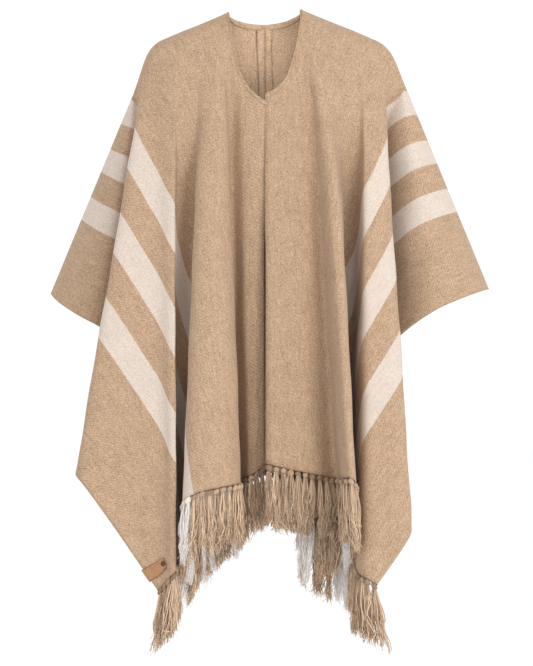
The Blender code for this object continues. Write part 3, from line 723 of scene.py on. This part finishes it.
def add_length(side, sheets, material):
    """One woven length: two sheets that share the shoulder ridge."""
    front, back = sheets
    picks, neck = pick_columns(front, back)
    steps = (np.arange(ROWS + 1) / ROWS) ** ROW_POWER
    corner = int(np.argmin(np.abs(picks - neck)))
    points, flat, index, faces = [], [], {}, []
    made = 0
    for sheet in sheets:
        cut = sheet.at(picks, sheet.cut)
        cut[:corner + 1] = 0.0
        # inside the neck a ruling starts at the neck's edge, in place of the last step that is cut off
        first = np.searchsorted(steps[:-1] + 0.7 * np.diff(steps), cut)
        part = np.where(np.arange(ROWS + 1) == first[:, None], cut[:, None], steps[None, :])
        i = np.broadcast_to(picks[:, None], part.shape)
        points.append(sheet.point(i, part).reshape(-1, 3))
        flat.append(signed(sheet, *sheet.flat(i, part)).reshape(-1, 2))
        grid = made + np.arange(part.size).reshape(part.shape)
        made += part.size
        if sheet is back:
            grid[0, :] = index["front"][0, :]
            grid[:corner + 1, 0] = index["front"][:corner + 1, 0]
        index[sheet.face] = grid
        flip = (sheet.face == "front") == (side == "left")
        for k in range(COLUMNS):
            ahead = first[k + 1]
            for j in range(first[k], ROWS):
                if j >= ahead:
                    ring = [grid[k, j], grid[k, j + 1], grid[k + 1, j + 1], grid[k + 1, j]]
                else:
                    ring = [grid[k, j], grid[k, j + 1], grid[k + 1, ahead]]
                faces.append(ring[::-1] if flip else ring)
    used = np.unique(np.concatenate(faces))
    renumber = np.zeros(made, int)
    renumber[used] = np.arange(len(used))
    piece = add_piece("cloth_" + side, np.concatenate(points)[used], [renumber[face] for face in faces],
                      np.concatenate(flat)[used], material)
    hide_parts(side + "_length")
    return thicken(piece, CLOTH_THICK)


def add_ringed(name, rings, flat, material):
    """Many closed forms in one mesh. rings is (forms, rings, points round, 3), flat (forms, rings, 2)."""
    forms, steps, sides, _ = rings.shape
    base = (np.arange(forms) * steps * sides)[:, None, None]
    j = np.arange(steps - 1)[None, :, None] * sides
    k = np.arange(sides)[None, None, :]
    after = (k + 1) % sides
    low = base + j
    quads = np.stack([low + k, low + after, low + sides + after, low + sides + k], axis=-1)
    faces = quads.reshape(-1, 4)[:, ::-1].tolist()
    for start in range(0, forms * steps * sides, steps * sides):
        faces.append(list(range(start, start + sides)))
        faces.append(list(range(start + steps * sides - 1, start + (steps - 1) * sides - 1, -1)))
    spread = np.repeat(flat[:, :, None, :], sides, axis=2).reshape(-1, 2)
    return add_piece(name, rings.reshape(-1, 3), faces, spread, material)


def add_tubes(name, paths, radii, reference, flat, sides, material):
    """Many tubes in one mesh. paths is (tubes, steps, 3), radii (tubes, steps), flat (tubes, steps, 2)."""
    heading = unit(np.gradient(paths, axis=1))
    first = unit(np.cross(heading, reference[:, None, :]))
    second = np.cross(heading, first)
    angle = turns(sides)[:, None]
    ring = first[:, :, None, :] * np.cos(angle) + second[:, :, None, :] * np.sin(angle)
    return add_ringed(name, paths[:, :, None, :] + ring * radii[:, :, None, None], flat, material)


# ---- fringe ----
Hem = namedtuple("Hem", "edge along down out u")


def hem_of(sheet):
    """Places of the knots along one hem: spot on the edge, frame and flat u of each."""
    hem = sheet.every[sheet.corner:]
    run = running_length(sheet.edge[hem])
    usable = run[-1] - 2 * HEM_END_MARGIN
    count = int(usable // KNOT_PITCH)
    pitch = (usable - KNOT_WIDTH) / (count - 1)
    i = np.interp(HEM_END_MARGIN + np.arange(count) * pitch + KNOT_WIDTH / 2, run, hem)
    edge = sheet.point(i, 1.0)
    down = unit(edge - sheet.point(i, 0.985))
    ahead = sheet.point(np.minimum(i + 1.5, sheet.every[-1]), 1.0)
    along = unit(ahead - sheet.point(np.maximum(i - 1.5, sheet.corner), 1.0))
    out = unit(np.cross(along, down)) * (-sheet.face_sign * sheet.sign)
    return Hem(edge, along, down, out, sheet.flat(i, np.ones(count))[0])


def add_knots(name, hem, middle, tilt, size, material):
    """Beads of wound yarn, set aslant, with the winding's grooves."""
    tilt, size = tilt[:, None], size[:, None, None]
    number = np.arange(len(middle))[:, None, None]
    polar = np.linspace(0.06, math.pi - 0.06, 9)[:, None]
    turn = turns(12)
    radius = np.sin(polar) ** 0.75 * (1 + 0.15 * np.cos(3 * turn + 5.5 * polar + number)) * size
    half_long, half_high, half_deep = KNOT_AXES
    parts = ((hem.along * np.cos(tilt) + hem.down * np.sin(tilt), np.cos(polar) * half_long * size),
             (hem.down * np.cos(tilt) - hem.along * np.sin(tilt), radius * np.cos(turn) * half_high),
             (hem.out, radius * np.sin(turn) * half_deep))
    rings = sum((axis[:, None, None, :] * amount[..., None] for axis, amount in parts),
                middle[:, None, None, :])
    flat = np.zeros(rings.shape[:2] + (2,))
    flat[..., 0] = hem.u[:, None]
    flat[..., 1] = 900.5 + number[..., 0]
    knots = add_ringed(name, rings, flat, material)
    face_outwards(knots)
    return knots


def add_warp_ends(name, hem, middle, material):
    """The warp ends that each knot draws together."""
    spread = np.linspace(-1, 1, GATHERED)[None, :, None]
    leave = (hem.edge - hem.down * 0.0012)[:, None, :] + hem.along[:, None, :] * spread * (KNOT_PITCH * 0.52)
    meet = (middle - hem.down * 0.0020)[:, None, :] + hem.along[:, None, :] * spread * 0.0030
    step = np.linspace(0, 1, 4)[None, None, :, None]
    path = leave[:, :, None, :] * (1 - step) + meet[:, :, None, :] * step
    path = (path + hem.out[:, None, None, :] * 0.0010 * np.sin(step * math.pi)).reshape(-1, 4, 3)
    flat = np.zeros(path.shape[:2] + (2,))
    flat[..., 0] = np.repeat(hem.u, GATHERED)[:, None]
    flat[..., 1] = np.arange(len(path))[:, None] + np.linspace(0.2, 0.5, 4)[None, :]
    return add_tubes(name, path, np.full(path.shape[:2], YARN_RADIUS), np.repeat(hem.out, GATHERED, axis=0),
                     flat, 4, material)


def add_tassels(name, sheet, hem, middle, material, rng):
    """A tassel of single yarns below each knot: fuller towards the corner, with a few stray yarns."""
    count = len(middle)
    total = count * YARNS
    owner = np.repeat(np.arange(count), YARNS)
    t = np.linspace(0, 1, YARN_STEPS)[None, :]
    spot_angle = rng.uniform(0, 2 * math.pi, total)
    spot_reach = np.sqrt(rng.uniform(0, 1, total))
    across = (spot_reach * np.cos(spot_angle))[:, None]
    depth = (spot_reach * np.sin(spot_angle))[:, None]
    lush = (1 + 0.16 * rng.standard_normal(count))[owner][:, None]
    sway = rng.normal(0, 0.0045, count)[owner][:, None]
    bulge = 0.0026 + 0.0034 * np.sin(np.clip(t / 0.55, 0, 1) * math.pi) ** 0.7 * (t < 0.55)
    corner = smooth_step((hem.u - CORNER_U[0]) / CORNER_U[1])[owner][:, None]
    flare = (bulge + 0.0022 * smooth_step(t / 0.5)) * lush * (1 + 2.6 * corner * t)
    uneven = (1 + 0.055 * rng.standard_normal(count)[owner] + 0.045 * rng.standard_normal(total)
              - 0.10 * (rng.uniform(0, 1, total) < 0.18))
    length = TASSEL_LENGTH * (1.0 if sheet.face == "front" else BACK_SHARE) * uneven
    length = np.minimum(length, TASSEL_LENGTH * 1.14)[:, None]
    stray = (rng.uniform(0, 1, total) < STRAY_SHARE)[:, None]
    curl = np.where(stray, STRAY_CURL, CURL)
    phase = rng.uniform(0, 2 * math.pi, (2, total, 1))
    waves = rng.uniform(0.7, 2.3, (2, total, 1))
    bend_a = curl * t * np.sin(phase[0] + waves[0] * 2 * math.pi * t)
    bend_b = 0.6 * curl * t * np.sin(phase[1] + waves[1] * 2 * math.pi * t)
    down, along, out = hem.down[owner], hem.along[owner], hem.out[owner]
    fall = unit(down * 0.45 + np.array([0.0, 0.0, -0.55]))
    root = (middle + hem.down * 0.0022)[owner]
    path = (root[:, None, :] + down[:, None, :] * (0.010 * (1 - np.exp(-t * 9)))[..., None]
            + fall[:, None, :] * (t * (length - 0.010))[..., None]
            + along[:, None, :] * (across * flare + bend_a + sway * t**2)[..., None]
            + out[:, None, :] * (depth * flare * 0.75 + bend_b)[..., None]
            + np.array([sheet.sign, 0.0, 0.0]) * (CORNER_DRIFT * corner * t)[..., None])
    own_radius = YARN_RADIUS * (1 + 0.40 * corner)
    radii = own_radius * (1.05 - 0.45 * t**3) * (0.85 + 0.3 * rng.uniform(0, 1, (total, 1)))
    flat = np.zeros(path.shape[:2] + (2,))
    flat[..., 0] = hem.u[owner][:, None]
    flat[..., 1] = np.arange(total)[:, None] + 0.02 + 0.96 * t
    return add_tubes(name, path, radii, out, flat, 4, material)


def add_fringe(side, sheet, materials, rng):
    """The knots along one hem, the warp ends above them and a tassel below each."""
    yarn, knot, shaded = materials
    hem = hem_of(sheet)
    count = len(hem.edge)
    tilt = np.radians(24 + 14 * rng.standard_normal(count)) * sheet.sign
    size = 1 + 0.10 * rng.standard_normal(count)
    drop = KNOT_DROP + 0.0006 * rng.standard_normal(count)
    middle = hem.edge + hem.down * drop[:, None]
    place = "_%s_%s" % (sheet.face, side)
    knots = add_knots("knots" + place, hem, middle, tilt, size, knot)
    # the warp ends take the material with painted shade, for the shade between the knots
    ends = add_warp_ends("warp_ends" + place, hem, middle, shaded)
    tassels = add_tassels("tassels" + place, sheet, hem, middle, yarn, rng)
    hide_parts("fringe" + place)
    return [knots, ends, tassels]


# ---- sewing ----
def strip_along(name, sheet, i, part, profile, rise, material):
    """A strip along a line of places on the cloth. profile rows are (distance down the ruling, lift)."""
    reach = sheet.at(i, sheet.reach)
    columns, flat = [], []
    for distance, lift in profile:
        wanted = part + distance * rise / reach
        place = np.clip(wanted, 0.0, 1.0)
        beyond = wanted - place
        spot = sheet.point(i, place, lift * rise)
        tangent = unit(sheet.point(i, place + 0.01) - sheet.point(i, place))
        columns.append(spot + tangent * (beyond * reach)[:, None])
        flat.append(signed(sheet, *sheet.flat(i, place)))
    return add_grid(name, columns, flat, (sheet.face == "front") != (sheet.side == "left"), material)


def neck_places(sheet, count):
    """Rulings and parts evenly spaced along the neck edge."""
    i = np.linspace(np.interp(NECK_HALF, sheet.ridge_u[::-1], sheet.every[::-1]), sheet.every[-1], 400)
    run = running_length(sheet.point(i, sheet.at(i, sheet.cut)))
    even = np.interp(np.linspace(0, run[-1], count), run, i)
    return even, sheet.at(even, sheet.cut), run[-1]


def add_neck(side, sheets, material, thread):
    """The neck edge turned in and stitched down."""
    made = []
    for sheet in sheets:
        own = "_%s_%s" % (sheet.face, side)
        i, part, run = neck_places(sheet, 60)
        profile = [(TURNING_WIDTH, -0.0019), (TURNING_WIDTH * 0.6, -0.0023), (0.0020, -0.0023),
                   (-0.0004, -0.0017), (-0.0014, -0.0004), (-0.0012, 0.0009), (0.0004, 0.0018),
                   (0.0035, 0.0019), (0.0060, 0.0016), (0.0070, 0.0010)]
        flatter = 0.2 + 0.8 * smooth_step(np.linspace(0, run, 60) / 0.03)
        turning = strip_along("neck_turning" + own, sheet, i, part, profile, flatter, material)
        made.append(thicken(turning, TURNING_THICK))
        count = int(run / STITCH_PITCH)
        i, part, _ = neck_places(sheet, count * 2 + 1)
        place = part + TOPSTITCH_IN / sheet.at(i, sheet.reach)
        for label, lift in (("outer", CLOTH_THICK / 2 + 0.0001), ("inner", -0.0031)):
            spots = sheet.point(i, place, lift)
            start, end = spots[:-1:2], spots[1::2]
            middle = (start + end) / 2
            half = unit(end - start) * STITCH_LONG / 2
            t = np.linspace(-1, 1, 5)[None, :, None]
            out = sheet.normal(i[:-1:2], place[:-1:2]) * np.sign(lift)
            path = middle[:, None, :] + half[:, None, :] * t + out[:, None, :] * STITCH_RADIUS * (0.8 - t**2)
            radii = np.broadcast_to(STITCH_RADIUS * (1 - 0.5 * np.abs(t[..., 0]) ** 4), path.shape[:2])
            made.append(add_tubes("neck_stitches_" + label + own, path, radii, out,
                                  np.zeros(path.shape[:2] + (2,)), 5, thread))
    return made


def add_back_allowance(side, sheet, material):
    """One allowance of the middle seam of the back, lying on the inside, a little proud."""
    part = np.linspace(sheet.cut[-1] + 0.002, 0.998, 60)
    _, v = sheet.flat(np.full(60, float(sheet.every[-1])), part)
    widths = ALLOWANCE_WIDTH * (1 + 0.10 * np.sin(v * 31 + sheet.sign))
    columns, flat = [], []
    for share, lift in ((0.02, -0.0016), (0.3, -0.0030), (0.7, -0.0040), (1.0, -0.0034)):
        spots, places = [], []
        for v_here, width in zip(v, widths):
            height = lift - 0.0012 * share * math.sin(v_here * 23 + sheet.sign)
            spots.append(sheet.spot(width * share, v_here, height))
            places.append([width * share * sheet.sign, v_here])
        columns.append(spots)
        flat.append(places)
    piece = add_grid("back_seam_allowance_" + side, columns, flat, side == "left", material)
    return thicken(piece, ALLOWANCE_THICK)


# ---- label ----
def add_label(sheet, material):
    """A leather strip folded over the selvage, with rounded ends. It carries no lettering."""
    lift = CLOTH_THICK / 2 + LABEL_GAP + LABEL_THICK / 2
    rows = 17
    leaf = np.linspace(0, 1, 16)
    fold_over = np.linspace(0, math.pi, 9)[1:-1]
    points, flat = [], []
    most_u = HALF_WIDTH - 1e-5
    for share in np.linspace(-1, 1, rows):
        row, places = [], []
        past = (abs(share) * LABEL_WIDTH / 2 - LABEL_WIDTH / 2 + LABEL_CORNER) / LABEL_CORNER
        inward = LABEL_CORNER * (1 - math.sqrt(max(0.0, 1 - max(0.0, past) ** 2)))
        v = LABEL_V + share * LABEL_WIDTH / 2
        rim_i, rim_part = sheet.find(most_u, v)
        rim = sheet.point(rim_i, rim_part)
        normal = sheet.normal(rim_i, rim_part)
        outward = unit(rim - sheet.spot(HALF_WIDTH - 0.004, v))
        starts = HALF_WIDTH - LABEL_LENGTH + inward + (LABEL_LENGTH - inward) * leaf
        from_side = (1 - abs(share)) * LABEL_WIDTH / 2

        def lay_leaf(order, height):
            for u in order:
                row.append(sheet.spot(min(u, most_u), v, height))
                places.append([u - starts[0], from_side])
        lay_leaf(starts, lift)
        for a in fold_over:
            row.append(rim + normal * lift * math.cos(a) + outward * lift * math.sin(a))
            places.append([LABEL_LENGTH, from_side])
        lay_leaf(starts[::-1], -lift)
        points += row
        flat += places
    piece = add_piece("leather_label", points, grid_faces(rows, len(row)), flat, material)
    thicken(piece, LABEL_THICK)
    bevel = piece.modifiers.new("edge", "BEVEL")
    bevel.width = 0.0003
    bevel.segments = 2
    bevel.angle_limit = math.radians(60)
    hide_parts("label")
    return piece


def add_rivet(name, sheet, facing, material, node):
    """A domed rivet head with a rolled rim."""
    i, part = sheet.find(RIVET_U, LABEL_V)
    normal = sheet.normal(i, part) * facing
    seat = sheet.point(i, part) + normal * (CLOTH_THICK / 2 + LABEL_GAP + LABEL_THICK + SEAM_GAP)
    profile = [(0.0, 1.0), (0.35, 0.97), (0.62, 0.86), (0.80, 0.66), (0.86, 0.58), (0.93, 0.62), (0.99, 0.45),
               (1.0, 0.2), (0.98, 0.0), (0.0, 0.0)]
    side_a = unit(np.cross(normal, [0.0, 0.0, 1.0]))
    side_b = np.cross(normal, side_a)
    around = 28
    turn = turns(around)
    ring = np.cos(turn)[:, None] * side_a + np.sin(turn)[:, None] * side_b
    points = [seat + normal * RIVET_HEIGHT * profile[0][1]]
    for radius, height in profile[1:-1]:
        points += list(seat + ring * RIVET_RADIUS * radius + normal * RIVET_HEIGHT * height)
    points.append(seat)
    faces = []
    rings = len(profile) - 2
    for k in range(around):
        after = (k + 1) % around
        faces.append([0, 1 + k, 1 + after])
        for r in range(rings - 1):
            low = 1 + r * around
            faces.append([low + k, low + around + k, low + around + after, low + after])
        last = 1 + (rings - 1) * around
        faces.append([last + k, len(points) - 1, last + after])
    piece = add_piece(name, points, faces, np.zeros((len(points), 2)), material)
    face_outwards(piece)
    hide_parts(node)
    return piece


# ==== the studio ====
PIXEL = 0.0018  # metres of the garment that one pixel of the view spans
VIEW_WIDTH, VIEW_HEIGHT = 533, 666
CAMERA_FAR = 9.0  # a long lens: hardly any perspective
ORIGIN_AT = 265, 50  # the pixel where the origin is seen
MIDDLE_X = (VIEW_WIDTH / 2 - ORIGIN_AT[0]) * PIXEL
MIDDLE_Z = (ORIGIN_AT[1] - VIEW_HEIGHT / 2) * PIXEL
FLOOR_Z = -1.42


def add_camera():
    data = bpy.data.cameras.new("camera")
    data.sensor_width = 36.0
    data.lens = data.sensor_width * CAMERA_FAR / (VIEW_HEIGHT * PIXEL)
    data.clip_end = 100.0
    camera = add_object("camera", data)
    camera.location = (MIDDLE_X, -CAMERA_FAR, MIDDLE_Z)
    camera.rotation_euler = (math.radians(90), 0, 0)
    bpy.context.scene.camera = camera


def add_light(name, place, size, energy, aim=(0.0, 0.0, -0.5)):
    data = bpy.data.lights.new(name, "AREA")
    data.shape = "DISK"
    data.size = size
    data.energy = energy
    light = add_object(name, data)
    light.location = place
    light.rotation_euler = (Vector(aim) - Vector(place)).to_track_quat("-Z", "Y").to_euler()
    light.visible_camera = False


def add_studio():
    floor_finish = Finish("studio_floor", 0.9, Specular_IOR_Level=0.1)
    grain = floor_finish.noise(floor_finish.place(), 3.0, 3.0)
    floor_finish.paint(floor_finish.mix(grain, (0.93, 0.93, 0.93), (0.96, 0.96, 0.96)))
    mesh = bpy.data.meshes.new("floor")
    corners = [(-30, -30), (30, -30), (30, 30), (-30, 30)]
    mesh.from_pydata([(x, y, FLOOR_Z) for x, y in corners], [], [(0, 1, 2, 3)])
    mesh.materials.append(floor_finish.material)
    add_object("floor", mesh)
    world = bpy.data.worlds.new("studio")
    world.use_nodes = True
    background = world.node_tree.nodes["Background"]
    background.inputs["Color"].default_value = (1.0, 1.0, 1.0, 1.0)
    background.inputs["Strength"].default_value = 1.06
    bpy.context.scene.world = world
    add_light("key", (2.9, -4.6, -0.3), 2.0, 112.0)
    add_light("fill", (-1.6, -4.2, -0.3), 2.4, 9.0)
    add_light("top", (0.0, -0.9, 3.2), 1.6, 5.0)
    add_light("collar", (0.0, -0.030, -0.015), 0.12, 0.075, (0.0, 0.5, -0.015))
    add_camera()
    bpy.context.scene.view_settings.view_transform = "Standard"


# ==== the poncho ====
def main():
    rng = np.random.default_rng(7)
    wool = wool_finish()
    yarn = yarn_finish("fringe_yarns", *YARN_COLOURS)
    knot = yarn_finish("fringe_knots", *KNOT_COLOURS)
    # the warp ends are coloured with painted shade, for the shade between the knots
    ends = yarn_finish("fringe_ends_painted_shade", *SHADE_PAINTED_END_COLOURS)
    thread = thread_finish("neck_thread", (0.50, 0.34, 0.22))
    leather = leather_finish()
    metal = rivet_finish()
    for side in ("right", "left"):
        sheets = Sheet(side, "front"), Sheet(side, "back")
        cloth = add_length(side, sheets, wool)
        trim = add_neck(side, sheets, wool, thread)
        trim.append(add_back_allowance(side, sheets[1], wool))
        for sheet in sheets:
            trim += add_fringe(side, sheet, (yarn, knot, ends), rng)
        if side == "right":
            trim.append(add_label(sheets[0], leather))
            trim.append(add_rivet("rivet_head_front", sheets[0], 1.0, metal, "rivet_front"))
            trim.append(add_rivet("rivet_head_back", sheets[0], -1.0, metal, "rivet_back"))
        across = np.linspace(0, NECK_HALF, 200)
        neck_area = sum(NECK_HALF * neck_reach(across, face).mean() for face in NECK)
        HALF_WIDTH * 2 * HALF_LENGTH - neck_area
    add_studio()


main()
